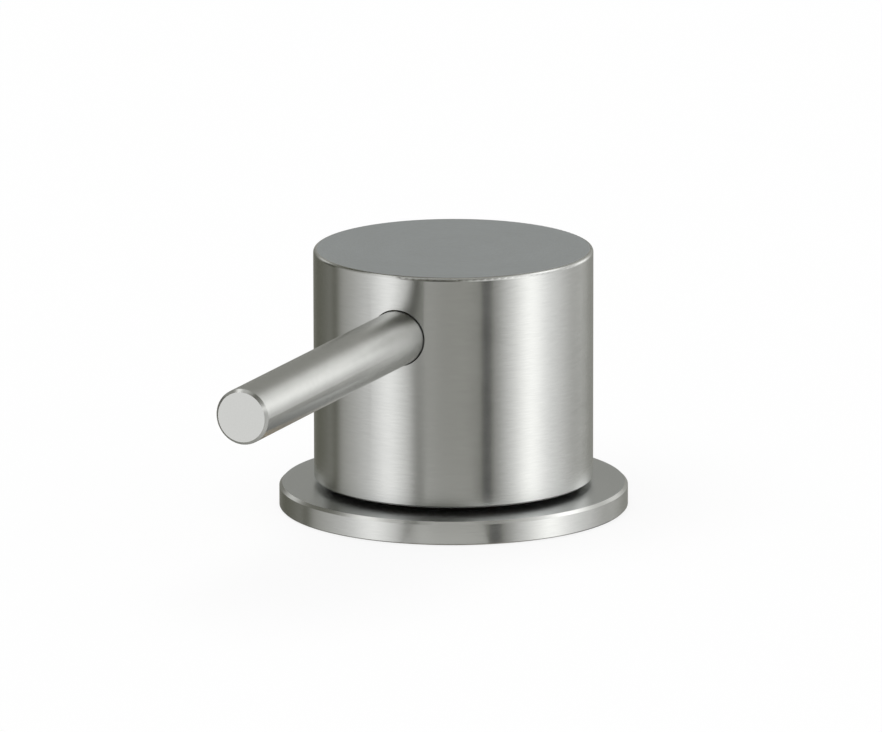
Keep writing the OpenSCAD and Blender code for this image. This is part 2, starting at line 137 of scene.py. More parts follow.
class Graph:
    """A node tree and the one method that adds nodes to it."""

    def __init__(self, tree: bpy.types.NodeTree) -> None:
        """Takes a tree and clears it."""
        self.tree = tree
        tree.nodes.clear()

    def node(
        self,
        kind: str,
        settings: Optional[Mapping[str, Any]] = None,
        sockets: Optional[Mapping[Key, Value]] = None,
        output: Key = 0,
    ) -> Wire:
        """Adds a node.

        Args:
            kind: the node's type.
            settings: what is set on the node itself, first; "stops" holds a colour ramp's stops.
            sockets: what goes into its inputs, by name or place: numbers, colours or wires.
            output: the output that is handed back, by name or place.

        Returns:
            That output, or an empty wire where the node has none.
        """
        made = self.tree.nodes.new(kind)
        for name, value in (settings or {}).items():
            if name == "stops":
                self._set_stops(made, value)
            else:
                setattr(made, name, value)
        for name, value in (sockets or {}).items():
            if isinstance(value, Wire):
                self.tree.links.new(value.socket, made.inputs[name])
            else:
                made.inputs[name].default_value = value
        return Wire(self, made.outputs[output] if made.outputs else None)

    def also(self, wire: Wire, output: Key) -> Wire:
        """Another output of the node that a wire comes from."""
        return Wire(self, wire.socket.node.outputs[output])

    @staticmethod
    def _set_stops(ramp: bpy.types.Node, stops: Sequence[tuple[float, Colour]]) -> None:
        """Sets a colour ramp's stops.

        Args:
            ramp: the Color Ramp node.
            stops: place and colour of each stop.
        """
        elements = ramp.color_ramp.elements
        for index, (place, colour) in enumerate(stops):
            element = elements[index] if index < len(elements) else elements.new(place)
            element.position = place
            element.color = (*colour, 1.0)


class Grain(Enum):
    """The way in which the lines of a finish run."""

    ROUND_THE_KNOB = "round the knob's axis"
    ROUND_THE_LEVER = "round the lever's axis"
    FACED = "in rings on a faced end"
    NONE = "none"


def grain_position(graph: Graph, grain: Grain, along: float, across: float) -> Wire:
    """Gives the place in a noise whose features are long along the lines of a finish.

    Args:
        graph: the material's tree.
        grain: how the lines run.
        along: features for each metre along the lines.
        across: features for each metre across the lines.

    Returns:
        A vector for a noise texture.
    """
    place = graph.node("ShaderNodeTexCoord", output="Object")
    x = graph.node("ShaderNodeSeparateXYZ", sockets={0: place}, output="X")
    y, z = graph.also(x, "Y"), graph.also(x, "Z")
    if grain is Grain.ROUND_THE_KNOB:
        parts = {0: x * along, 1: y * along, 2: z * across}
    elif grain is Grain.ROUND_THE_LEVER:
        parts = {0: x * along, 1: y * across, 2: z * along}
    elif grain is Grain.FACED:
        radius = x.maths("SQRT", x * x + y * y)
        parts = {0: x * along, 1: y * along, 2: radius * across}
    else:
        parts = {0: x * across, 1: y * across, 2: z * across}
    return graph.node("ShaderNodeCombineXYZ", sockets=parts)


@dataclass(frozen=True)
class Finish:
    """A finish of one material, with fine lines or grain in its colour, its gloss and its relief.

    Sizes are in millimetres. The record's slot of the same kind is named by slot.
    """

    name: str
    slot: str
    colour: Colour
    roughness: float
    metallic: float = 0.0
    anisotropic: float = 0.0
    anisotropic_rotation: float = 0.0
    specular: float = 0.5
    grain: Grain = Grain.NONE
    line_length: float = 3.0
    line_width: float = 0.3
    colour_spread: float = 0.06
    roughness_spread: float = 0.06
    relief: float = 0.002
    blotch_size: float = 12.0
    blotch_spread: float = 0.03

    def _noise(self, graph: Graph, length: float, width: float, detail: float) -> Wire:
        """One layer of lines.

        Args:
            graph: the material's tree.
            length: length of its lines in millimetres.
            width: width of its lines in millimetres.
            detail: how many finer layers it holds.

        Returns:
            A value from 0 to 1.
        """
        place = grain_position(graph, self.grain, 1.0 / (length * MM), 1.0 / (width * MM))
        return graph.node(
            "ShaderNodeTexNoise",
            {"noise_dimensions": "3D"},
            {"Vector": place, "Scale": 1.0, "Detail": detail, "Roughness": 0.55},
        )

    def _tone(self, shift: float) -> tuple[float, float, float, float]:
        """The base colour, made lighter or darker by a share of itself."""
        red, green, blue = (min(1.0, channel * (1.0 + shift)) for channel in self.colour)
        return red, green, blue, 1.0

    def material(self) -> bpy.types.Material:
        """Builds the material, once.

        Returns:
            The Blender material.
        """
        known = bpy.data.materials.get(self.name)
        if known is not None:
            return known
        material = bpy.data.materials.new(self.name)
        material.use_nodes = True
        graph = Graph(material.node_tree)
        lines = self._noise(graph, self.line_length, self.line_width, 3.0)
        blotch = self._noise(graph, self.blotch_size, self.blotch_size / 2.0, 1.0)
        spread = self.colour_spread
        tone = lines * 0.7 + blotch * 0.3
        colour = graph.node(
            "ShaderNodeMix",
            {"data_type": "RGBA"},
            {0: tone, 6: self._tone(-spread), 7: self._tone(spread)},
            output=2,
        )
        gloss = self.roughness + (lines - 0.5) * self.roughness_spread + (blotch - 0.5) * self.blotch_spread
        bump = graph.node(
            "ShaderNodeBump", sockets={"Height": lines, "Strength": 1.0, "Distance": self.relief * MM}
        )
        shader = graph.node(
            "ShaderNodeBsdfPrincipled",
            sockets={
                "Base Color": colour,
                "Roughness": gloss,
                "Normal": bump,
                "Metallic": self.metallic,
                "Specular IOR Level": self.specular,
                "Anisotropic": self.anisotropic,
                "Anisotropic Rotation": self.anisotropic_rotation,
            },
        )
        graph.node("ShaderNodeOutputMaterial", sockets={"Surface": shader})
        return material


STEEL_COLOUR: Colour = (0.67, 0.675, 0.66)

BRUSHED_ROUND = Finish(
    name="steel_brushed_round",
    slot="brushed_steel",
    colour=STEEL_COLOUR,
    roughness=0.22,
    metallic=1.0,
    anisotropic=1.0,
    anisotropic_rotation=0.25,
    grain=Grain.ROUND_THE_KNOB,
    line_length=2.5,
    line_width=0.18,
    colour_spread=0.13,
    roughness_spread=0.05,
    relief=0.0006,
)
FACED_END = Finish(
    name="steel_faced",
    slot="brushed_steel",
    colour=(0.65, 0.665, 0.668),
    roughness=0.3,
    metallic=1.0,
    grain=Grain.FACED,
    line_length=1.2,
    line_width=0.2,
    colour_spread=0.1,
    relief=0.0005,
)
KNOB_TOP = replace(FACED_END, name="steel_knob_top", colour=(0.67, 0.712, 0.76), colour_spread=0.2)
TURNED_LEVER = Finish(
    name="steel_turned_lever",
    slot="brushed_steel",
    colour=STEEL_COLOUR,
    roughness=0.25,
    metallic=1.0,
    anisotropic=0.9,
    grain=Grain.ROUND_THE_LEVER,
    line_length=1.2,
    line_width=0.18,
    colour_spread=0.18,
    relief=0.0006,
)
LEVER_END = Finish(
    name="steel_lever_end",
    slot="brushed_steel",
    colour=STEEL_COLOUR,
    roughness=0.3,
    metallic=1.0,
    line_width=0.3,
    colour_spread=0.09,
    relief=0.0006,
)
# Near-black painted shade: the brass collar that shows in the gap under the knob is coloured almost black,
# standing in for the shade inside that gap.
GAP_SHADE_COLLAR = Finish(
    name="brass_painted_gap_shade",
    slot="brass",
    colour=(0.012, 0.011, 0.01),
    roughness=0.6,
    metallic=0.0,
    specular=0.1,
    grain=Grain.ROUND_THE_KNOB,
    line_length=6.0,
    line_width=0.25,
    colour_spread=0.2,
    relief=0.001,
)
BRASS = Finish(
    name="brass_turned",
    slot="brass",
    colour=(0.72, 0.56, 0.30),
    roughness=0.3,
    metallic=1.0,
    grain=Grain.ROUND_THE_KNOB,
    line_length=6.0,
    line_width=0.25,
    colour_spread=0.08,
    relief=0.001,
)
ZINC = Finish(
    name="zinc_plated",
    slot="zinc_steel",
    colour=(0.60, 0.61, 0.63),
    roughness=0.32,
    metallic=1.0,
    line_width=1.2,
    colour_spread=0.07,
    roughness_spread=0.1,
    relief=0.001,
)
RUBBER = Finish(
    name="rubber_matt",
    slot="seal_rubber",
    colour=(0.03, 0.03, 0.03),
    roughness=0.62,
    specular=0.35,
    line_width=0.25,
    colour_spread=0.3,
    relief=0.008,
)
HOUSING_PLASTIC = Finish(
    name="plastic_moulded",
    slot="cartridge_plastic",
    colour=(0.16, 0.17, 0.19),
    roughness=0.45,
    line_width=0.3,
    colour_spread=0.06,
    relief=0.006,
)
SLIDE_PLASTIC = Finish(
    name="plastic_sliding",
    slot="slide_plastic",
    colour=(0.85, 0.85, 0.83),
    roughness=0.38,
    line_width=0.5,
    colour_spread=0.03,
    relief=0.002,
)
CERAMIC = Finish(
    name="ceramic_lapped",
    slot="disc_ceramic",
    colour=(0.90, 0.89, 0.85),
    roughness=0.22,
    line_width=0.4,
    colour_spread=0.03,
    relief=0.0005,
)


def finished_copy(node: bpy.types.Object, name: str, finishes: Iterable[Finish]) -> bpy.types.Object:
    """Copies a CAD node's mesh into a piece of its own, which keeps its place and its shading.

    Args:
        node: the CAD node.
        name: name of the piece.
        finishes: the finishes of its slots, in their order.

    Returns:
        The new object.
    """
    mesh = node.data.copy()
    mesh.name = name
    mesh.materials.clear()
    for finish in finishes:
        mesh.materials.append(finish.material())
    piece = bpy.data.objects.new(name, mesh)
    bpy.context.scene.collection.objects.link(piece)
    return piece


@dataclass
class Threads:
    """A screw thread as a closed sleeve over a plain core, or in a plain hole. Sizes in millimetres.

    The thread's surface runs from the root radius to the crest radius, and back_radius is where the
    sleeve closes on itself, inside the metal.
    """

    name: str
    finish: Finish
    root_radius: float
    crest_radius: float
    back_radius: float
    pitch: float
    low: float
    high: float
    columns: int = 96
    copies: int = 1
    circle_radius: float = 0.0
    first_angle: float = 0.0
    rows_per_turn: int = 6

    INPUTS = (
        ("Root Radius", "NodeSocketFloat"),
        ("Crest Radius", "NodeSocketFloat"),
        ("Back Radius", "NodeSocketFloat"),
        ("Pitch", "NodeSocketFloat"),
        ("Low", "NodeSocketFloat"),
        ("High", "NodeSocketFloat"),
        ("Columns", "NodeSocketInt"),
        ("Rows", "NodeSocketInt"),
        ("Copies", "NodeSocketInt"),
        ("Circle Radius", "NodeSocketFloat"),
        ("First Angle", "NodeSocketFloat"),
    )

    @classmethod
    def tree(cls) -> bpy.types.NodeTree:
        """Builds the Geometry Nodes tree, once.

        Returns:
            The tree. Its grid is bent round into a sleeve whose last rows close its back.
        """
        known = bpy.data.node_groups.get("thread_sleeve")
        if known is not None:
            return known
        tree = bpy.data.node_groups.new("thread_sleeve", "GeometryNodeTree")
        graph = Graph(tree)
        for name, kind in cls.INPUTS:
            tree.interface.new_socket(name, in_out="INPUT", socket_type=kind)
        tree.interface.new_socket("Finish", in_out="INPUT", socket_type="NodeSocketMaterial")
        tree.interface.new_socket("Geometry", in_out="OUTPUT", socket_type="NodeSocketGeometry")
        given = graph.node("NodeGroupInput", output="Root Radius")
        crest, back = graph.also(given, "Crest Radius"), graph.also(given, "Back Radius")
        pitch, low, high = (graph.also(given, name) for name in ("Pitch", "Low", "High"))
        columns, rows = graph.also(given, "Columns"), graph.also(given, "Rows")
        all_rows = rows + 4.0
        grid = graph.node(
            "GeometryNodeMeshGrid",
            sockets={"Size X": 1.0, "Size Y": 1.0, "Vertices X": columns + 1.0, "Vertices Y": all_rows},
        )
        place = graph.node("GeometryNodeInputPosition")
        across = graph.node("ShaderNodeSeparateXYZ", sockets={0: place}, output="X")
        turn = across + 0.5
        row = (graph.also(across, "Y") + 0.5) * (all_rows - 1.0)
        share = row.maths("MINIMUM", row.maths("MAXIMUM", (row - 1.0) / rows, 0.0), 1.0)
        at_back = row.maths("MAXIMUM", row < 0.5, row > rows + 1.5)
        closing = row > rows + 2.5
        height = low + (high - low) * share * (1.0 - closing)
        phase = height / pitch - turn
        saw = phase.maths("FRACT", phase)
        ridge = saw.maths("ABSOLUTE", saw * 2.0 - 1.0)
        flat = ridge.maths("MINIMUM", ridge.maths("MAXIMUM", ridge * 1.25 - 0.125, 0.0), 1.0)
        from_end = row.maths("MINIMUM", height - low, high - height) / pitch
        fade = row.maths("MINIMUM", from_end * 1.2, 1.0)
        surface = given + (crest - given) * flat * fade
        radius = surface + (back - surface) * at_back
        angle = turn * math.tau
        bent = graph.node(
            "ShaderNodeCombineXYZ",
            sockets={
                0: radius * angle.maths("COSINE", angle),
                1: radius * angle.maths("SINE", angle),
                2: height,
            },
        )
        sleeve = graph.node("GeometryNodeSetPosition", sockets={"Geometry": grid, "Position": bent})
        closed = graph.node("GeometryNodeMergeByDistance", sockets={"Geometry": sleeve, "Distance": 1e-7})
        index = graph.node("GeometryNodeInputIndex")
        copies = graph.also(given, "Copies")
        spot = index / copies * math.tau + graph.also(given, "First Angle")
        circle = graph.also(given, "Circle Radius")
        points = graph.node(
            "GeometryNodePoints",
            sockets={
                "Count": copies,
                "Position": graph.node(
                    "ShaderNodeCombineXYZ",
                    sockets={0: circle * spot.maths("COSINE", spot), 1: circle * spot.maths("SINE", spot)},
                ),
            },
        )
        many = graph.node("GeometryNodeInstanceOnPoints", sockets={"Points": points, "Instance": closed})
        real = graph.node("GeometryNodeRealizeInstances", sockets={"Geometry": many})
        dressed = graph.node(
            "GeometryNodeSetMaterial", sockets={"Geometry": real, "Material": graph.also(given, "Finish")}
        )
        graph.node("NodeGroupOutput", sockets={"Geometry": dressed})
        return tree

    def build(self, body: str) -> bpy.types.Object:
        """Makes the sleeve a plain mesh that rides on a body.

        Args:
            body: the CAD body that carries it.

        Returns:
            The new object.
        """
        scene = bpy.context.scene
        tree = self.tree()
        holder = bpy.data.objects.new(f"{self.name}_holder", bpy.data.meshes.new(f"{self.name}_holder"))
        scene.collection.objects.link(holder)
        modifier = holder.modifiers.new("thread", "NODES")
        modifier.node_group = tree
        turns = (self.high - self.low) / self.pitch
        values = {
            "Root Radius": self.root_radius * MM,
            "Crest Radius": self.crest_radius * MM,
            "Back Radius": self.back_radius * MM,
            "Pitch": self.pitch * MM,
            "Low": self.low * MM,
            "High": self.high * MM,
            "Columns": self.columns,
            "Rows": round(turns * self.rows_per_turn),
            "Copies": self.copies,
            "Circle Radius": self.circle_radius * MM,
            "First Angle": math.radians(self.first_angle),
            "Finish": self.finish.material(),
        }
        for item in tree.interface.items_tree:
            if item.in_out == "INPUT":
                modifier[item.identifier] = values[item.name]
        graph = bpy.context.evaluated_depsgraph_get()
        mesh = bpy.data.meshes.new_from_object(holder.evaluated_get(graph))
        bpy.data.objects.remove(holder)
        face_outwards(mesh)
        mesh.shade_smooth()
        mesh.set_sharp_from_angle(angle=math.radians(28))
        piece = bpy.data.objects.new(self.name, mesh)
        scene.collection.objects.link(piece)
        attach(piece, body)
        return piece


def face_outwards(mesh: bpy.types.Mesh) -> None:
    """Merges a mesh's doubles and turns its faces outwards."""
    work = bmesh.new()
    work.from_mesh(mesh)
    bmesh.ops.remove_doubles(work, verts=work.verts, dist=1e-7)
    bmesh.ops.recalc_face_normals(work, faces=work.faces)
    work.to_mesh(mesh)
    work.free()


def shrink_round(
    mesh: bpy.types.Mesh, centre: tuple[float, float], radius: float, core: float, low: float, high: float
) -> None:
    """Turns a round shaft of a mesh down to its thread's core. Sizes in millimetres.

    Args:
        mesh: the mesh, which is a piece's own.
        centre: where the shaft's axis meets the deck.
        radius: the shaft's radius.
        core: the radius of the core.
        low: level from which the shaft is turned down.
        high: level to which it is turned down.
    """
    axis = Vector((*centre, 0.0)) * MM
    for vertex in mesh.vertices:
        away = (vertex.co - axis) * Vector((1.0, 1.0, 0.0))
        level = vertex.co.z / MM
        if abs(away.length / MM - radius) < 0.02 and low - 0.01 < level < high + 0.01:
            turned = axis + away.normalized() * core * MM
            vertex.co = Vector((turned.x, turned.y, vertex.co.z))


@dataclass
class SteelTrim:
    """The brushed steel that shows above the deck: knob, lever and flange."""

    nodes: Mapping[str, bpy.types.Object]
    pieces: list[bpy.types.Object] = field(default_factory=list)

    def _finish_faces(
        self, node: str, name: str, body: str, finishes: Sequence[Finish], axis: Vector, level: float
    ) -> bpy.types.Object:
        """Makes a piece that stands for a node, with a finish of its own on its flat end.

        Args:
            node: name of the CAD node.
            name: name of the piece.
            body: the body that carries it.
            finishes: the finish of its sides and the finish of its flat end.
            axis: the way that the flat end faces.
            level: how far out along that axis the end lies, in metres.

        Returns:
            The new object.
        """
        piece = finished_copy(self.nodes[node], name, finishes)
        for face in piece.data.polygons:
            flat = face.normal.dot(axis) > 0.999 and abs(face.center.dot(axis) - level) < 0.02 * MM
            face.material_index = 1 if flat else 0
        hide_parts(node)
        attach(piece, body)
        self.pieces.append(piece)
        return piece

    def build_knob(self) -> bpy.types.Object:
        """The knob: lines round its side, a faced top."""
        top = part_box("knob_shell")[1].z
        finishes = (BRUSHED_ROUND, KNOB_TOP)
        return self._finish_faces("knob_shell", "knob_cap", "control", finishes, Vector((0, 0, 1)), top)

    def build_lever(self) -> bpy.types.Object:
        """The lever: lines round its shank, whose gloss runs along its axis, and a plain end."""
        tip = -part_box("lever")[0].y
        finishes = (TURNED_LEVER, LEVER_END)
        pin = self._finish_faces("lever", "lever_pin", "control", finishes, Vector((0, -1, 0)), tip)
        pin.data.use_auto_texspace = False
        pin.data.texspace_location = (-1.0, 0.0, 0.0)
        pin.data.texspace_size = (0.001, 10.0, 10.0)
        return pin

    def build_flange(self) -> bpy.types.Object:
        """The flange: lines round its edge, a faced upper side."""
        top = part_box("deck_flange")[1].z
        finishes = (BRUSHED_ROUND, FACED_END)
        return self._finish_faces("deck_flange", "flange_plate", "valve", finishes, Vector((0, 0, 1)), top)

    def build(self) -> list[bpy.types.Object]:
        """Builds all three.

        Returns:
            The pieces.
        """
        self.build_knob()
        self.build_lever()
        self.build_flange()
        return self.pieces


@dataclass
class Underside:
    """What shows below the deck: the threaded shank with its ports, and the jack screws of the clamp."""

    nodes: Mapping[str, bpy.types.Object]
    # Radius in millimetres beyond which the body's faces above the deck get the near-black painted shade of
    # the gap under the knob.
    gap_shade_from: float = 18.0
    shank_radius: float = 16.5
    shank_pitch: float = 1.5
    shank_core: float = 15.58
    shank_low: float = -61.0
    shank_high: float = -3.5
    port_radius: float = 5.0
    port_pitch: float = 1.0
    port_circle: float = 7.6
    port_low: float = -61.4
    port_high: float = -50.2
    jack_radius: float = 2.5
    jack_pitch: float = 0.8
    jack_core: float = 2.02
    jack_low: float = -49.5
    jack_high: float = -35.5
    pieces: list[bpy.types.Object] = field(default_factory=list)

    def build_shank(self) -> None:
        """The body with its shank turned down to the core, near-black painted shade on its collar above the
        deck, and the thread over it.
        """
        body = finished_copy(self.nodes["valve_body"], "body_casting", (BRASS, GAP_SHADE_COLLAR))
        # Painted shade: the collar faces above the deck, beyond this radius, take the near-black finish so
        # that the gap under the knob looks dark.
        for face in body.data.polygons:
            reach = math.hypot(face.center.x, face.center.y)
            if reach > self.gap_shade_from * MM and face.center.z > 0.0:
                face.material_index = 1
        shrink_round(
            body.data, (0.0, 0.0), self.shank_radius, self.shank_core, self.shank_low, self.shank_high
        )
        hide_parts("valve_body")
        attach(body, "valve")
        thread = Threads(
            name="shank_thread",
            finish=BRASS,
            root_radius=self.shank_core + 0.03,
            crest_radius=self.shank_radius,
            back_radius=self.shank_core - 0.6,
            pitch=self.shank_pitch,
            low=self.shank_low,
            high=self.shank_high,
            columns=120,
        ).build("valve")
        self.pieces += [body, thread]

    def build_ports(self) -> None:
        """The threads in the mouths of the three ports."""
        thread = Threads(
            name="port_threads",
            finish=BRASS,
            root_radius=self.port_radius - 0.02,
            crest_radius=self.port_radius - 0.54,
            back_radius=self.port_radius + 0.3,
            pitch=self.port_pitch,
            low=self.port_low,
            high=self.port_high,
            columns=48,
            copies=3,
            circle_radius=self.port_circle,
            first_angle=30.0,
        ).build("valve")
        self.pieces.append(thread)

    def build_jacks(self) -> None:
        """The jack screws, turned down to their core, and their threads."""
        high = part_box("jack_screws")[1]
        nut_low, nut_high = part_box("back_nut")
        half_flats = (nut_high.y - nut_low.y) / 2.0 / MM
        circle = (self.shank_radius + half_flats * 2.0 / math.sqrt(3.0)) / 2.0
        screws = finished_copy(self.nodes["jack_screws"], "jack_screw_bolts", (ZINC,))
        for angle in (60.0, 180.0, 300.0):
            centre = (circle * math.cos(math.radians(angle)), circle * math.sin(math.radians(angle)))
            shrink_round(screws.data, centre, self.jack_radius, self.jack_core, self.jack_low, high.z / MM)
        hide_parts("jack_screws")
        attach(screws, "valve")
        thread = Threads(
            name="jack_screw_threads",
            finish=ZINC,
            root_radius=self.jack_core + 0.01,
            crest_radius=self.jack_radius,
            back_radius=self.jack_core - 0.4,
            pitch=self.jack_pitch,
            low=self.jack_low,
            high=self.jack_high,
            columns=32,
            copies=3,
            circle_radius=circle,
            first_angle=60.0,
        ).build("valve")
        self.pieces += [screws, thread]

    def build(self) -> list[bpy.types.Object]:
        """Builds the threaded pieces.

        Returns:
            The pieces.
        """
        self.build_shank()
        self.build_ports()
        self.build_jacks()
        return self.pieces


@dataclass
class InnerParts:
    """The CAD nodes that stay as they are, each with the finish of its slot."""

    nodes: Mapping[str, bpy.types.Object]
    record: Mapping[str, Any]

    FINISHES = (BRUSHED_ROUND, BRASS, ZINC, RUBBER, HOUSING_PLASTIC, SLIDE_PLASTIC, CERAMIC)
    FINISH_OF_SLOT = {finish.slot: finish for finish in FINISHES}

    def dress(self) -> list[str]:
        """Gives every node its finish.

        Returns:
            The names of the nodes.
        """
        for part in self.record["subparts"]:
            material = self.FINISH_OF_SLOT[part["material_slot"]].material()
            for slot in self.nodes[part["node"]].material_slots:
                slot.material = material
        return [part["node"] for part in self.record["subparts"]]


@dataclass
class ProductCamera:
    """The camera at the photograph's angle. Angles in degrees, lengths in millimetres.

    The offsets say where the part's origin lies from the camera: to its right, below its axis and ahead.
    """

    azimuth: float = 23.588
    pitch: float = 13.047
    roll: float = -0.10
    offset_right: float = 2.18
    offset_down: float = 23.63
    distance: float = 1834.5
    focal_in_pixels: float = 10656.0
    picture_width: int = 882
    sensor_width: float = 36.0

    def axes(self) -> tuple[Vector, Vector, Vector]:
        """The camera's directions to the right, down and ahead."""
        a, p, r = (math.radians(angle) for angle in (self.azimuth, self.pitch, self.roll))
        right = Vector((math.cos(a), math.sin(a), 0.0))
        ahead = Vector((-math.sin(a) * math.cos(p), math.cos(a) * math.cos(p), -math.sin(p)))
        down = ahead.cross(right)
        turned_right = right * math.cos(r) - down * math.sin(r)
        turned_down = right * math.sin(r) + down * math.cos(r)
        return turned_right, turned_down, ahead

    def build(self) -> bpy.types.Object:
        """Makes the camera and sets it as the scene's.

        Returns:
            The camera.
        """
        data = bpy.data.cameras.new("product_camera")
        data.sensor_width = self.sensor_width
        data.lens = self.focal_in_pixels * self.sensor_width / self.picture_width
        camera = bpy.data.objects.new("product_camera", data)
        bpy.context.scene.collection.objects.link(camera)
        right, down, ahead = self.axes()
        place = -(right * self.offset_right + down * self.offset_down + ahead * self.distance) * MM
        turn = Matrix((right, -down, -ahead)).transposed().to_4x4()
        camera.matrix_world = Matrix.Translation(place) @ turn
        bpy.context.scene.camera = camera
        return camera


@dataclass(frozen=True)
class SoftBox:
    """A soft light or a dark flag in the studio. Angles in degrees.

    Azimuth runs from the camera's side to the camera's right, elevation from the horizon, and strength
    is what it adds to the studio's own level, less than nothing for a flag.
    """

    name: str
    azimuth: float
    elevation: float
    width: float
    height: float
    strength: float
    tint: Colour = (1.0, 1.0, 1.0)


@dataclass
class Studio:
    """The white backdrop and the soft boxes round the tap that its steel shows."""

    camera_azimuth: float
    level: float = 0.35
    level_tint: Colour = (1.0, 1.0, 0.93)
    fill: float = 0.5
    darkest: float = 0.03
    near_glow: float = 0.2
    floor_own_light: float = 0.8
    boxes: tuple[SoftBox, ...] = (
        SoftBox("left box", -55.0, -5.0, 13.7, 60.0, 0.38),
        SoftBox("left glow", -60.0, -5.0, 33.0, 60.0, 0.45, (1.0, 1.0, 1.05)),
        SoftBox("left edge", -30.0, -10.0, 5.8, 60.0, -0.24),
        SoftBox("far left edge", -114.0, -10.0, 6.0, 60.0, -0.17),
        SoftBox("left flag", -148.0, -15.0, 28.0, 50.0, -0.22),
        SoftBox("left rear flag", -125.0, 12.0, 10.0, 14.0, -0.32),
        SoftBox("left rim box", -144.0, 22.0, 12.0, 9.0, 0.7),
        SoftBox("right box", 67.0, -5.0, 13.5, 60.0, 0.50, (1.0, 1.0, 0.97)),
        SoftBox("right glow", 74.0, -5.0, 39.0, 60.0, 0.645, (1.0, 1.0, 1.04)),
        SoftBox("right edge", 27.6, -14.0, 3.2, 40.0, -0.45),
        SoftBox("right shade", 27.0, -14.0, 15.0, 30.0, -0.31),
        SoftBox("right dip", 34.0, -14.0, 8.0, 34.0, -0.12),
        SoftBox("front right box", 26.0, 17.0, 14.0, 9.0, 1.3),
        SoftBox("camera flag", -14.0, 16.0, 24.0, 17.0, -0.36),
        SoftBox("front high flag", 0.0, 45.0, 38.0, 19.0, -0.36),
        SoftBox("table glow", -8.0, -13.0, 36.0, 9.0, 0.12),
        SoftBox("rear box", 132.0, 9.5, 14.5, 15.0, 1.2),
        SoftBox("rear dip", 134.0, -24.0, 18.0, 12.0, -0.28),
        SoftBox("rear low flag", 134.0, -38.0, 17.0, 13.0, -0.45),
        SoftBox("rear glow", 180.0, 17.0, 24.0, 15.0, 0.07),
        SoftBox("rear flag", 165.0, -30.0, 24.0, 12.0, -0.42),
        SoftBox("rear top flag", -150.0, 52.0, 50.0, 18.0, -0.32),
        SoftBox("top left box", -93.0, 56.0, 22.0, 8.0, 1.5),
        SoftBox("top right box", 108.0, 46.0, 24.0, 13.0, 1.7),
        SoftBox("overhead box", 0.0, 82.0, 150.0, 9.0, 0.55),
        SoftBox("overhead flag", 54.0, 70.0, 16.0, 11.0, -0.5),
    )

    def _falloff(self, graph: Graph, box: SoftBox, azimuth: Wire, elevation: Wire) -> Wire:
        """How strongly a box shows in a direction.

        Args:
            graph: the world's tree.
            box: the box.
            azimuth: the direction's azimuth in degrees.
            elevation: its elevation in degrees.

        Returns:
            The box's strength there.
        """
        sideways = azimuth.maths("WRAP", azimuth - box.azimuth, 180.0, -180.0) / box.width
        upwards = (elevation - box.elevation) / box.height
        return box.strength * azimuth.maths("EXPONENT", -(sideways * sideways + upwards * upwards))

    def build_world(self) -> bpy.types.World:
        """Makes the world: white for the camera, the studio for gloss, an even fill for the rest.

        Returns:
            The world.
        """
        world = bpy.data.worlds.new("studio")
        bpy.context.scene.world = world
        world.use_nodes = True
        world.cycles.sampling_method = "NONE"
        graph = Graph(world.node_tree)
        turn = math.radians(self.camera_azimuth)
        direction = graph.node("ShaderNodeTexCoord", output="Generated")
        x = graph.node("ShaderNodeSeparateXYZ", sockets={0: direction}, output="X")
        y, z = graph.also(x, "Y"), graph.also(x, "Z")
        to_right = x * math.cos(turn) + y * math.sin(turn)
        to_camera = x * math.sin(turn) - y * math.cos(turn)
        azimuth = to_right.maths("ARCTAN2", to_right, to_camera) * math.degrees(1.0)
        elevation = z.maths("ARCSINE", z) * math.degrees(1.0)
        light = graph.node(
            "ShaderNodeCombineColor", sockets=dict(enumerate(self.level * part for part in self.level_tint))
        )
        for box in self.boxes:
            shown = self._falloff(graph, box, azimuth, elevation)
            added = graph.node(
                "ShaderNodeVectorMath", {"operation": "SCALE"}, {"Vector": box.tint, "Scale": shown}
            )
            light = graph.node("ShaderNodeVectorMath", {"operation": "ADD"}, {0: light, 1: added})
        darkest = (self.darkest, self.darkest, self.darkest)
        light = graph.node("ShaderNodeVectorMath", {"operation": "MAXIMUM"}, {0: light, 1: darkest})
        ray = graph.node("ShaderNodeLightPath", output="Is Camera Ray")
        shiny = ray.maths(
            "MAXIMUM", graph.also(ray, "Is Glossy Ray"), graph.also(ray, "Is Transmission Ray")
        )
        fill = (self.fill, self.fill, self.fill, 1.0)
        seen = graph.node("ShaderNodeMix", {"data_type": "RGBA"}, {0: shiny, 6: fill, 7: light}, output=2)
        shown = graph.node(
            "ShaderNodeMix", {"data_type": "RGBA"}, {0: ray, 6: seen, 7: (1.0, 1.0, 1.0, 1.0)}, output=2
        )
        background = graph.node("ShaderNodeBackground", sockets={"Color": shown, "Strength": 1.0})
        graph.node("ShaderNodeOutputWorld", sockets={"Surface": background})
        return world

    def build_lamp(self) -> bpy.types.Object:
        """The overhead soft light, which the steel doesn't mirror.

        Returns:
            The lamp.
        """
        data = bpy.data.lights.new("overhead", "SUN")
        data.energy = 0.5 * math.pi
        data.angle = math.radians(70.0)
        lamp = bpy.data.objects.new("overhead", data)
        lamp.rotation_euler = (math.radians(8.0), math.radians(-6.0), 0.0)
        lamp.visible_glossy = False
        bpy.context.scene.collection.objects.link(lamp)
        return lamp

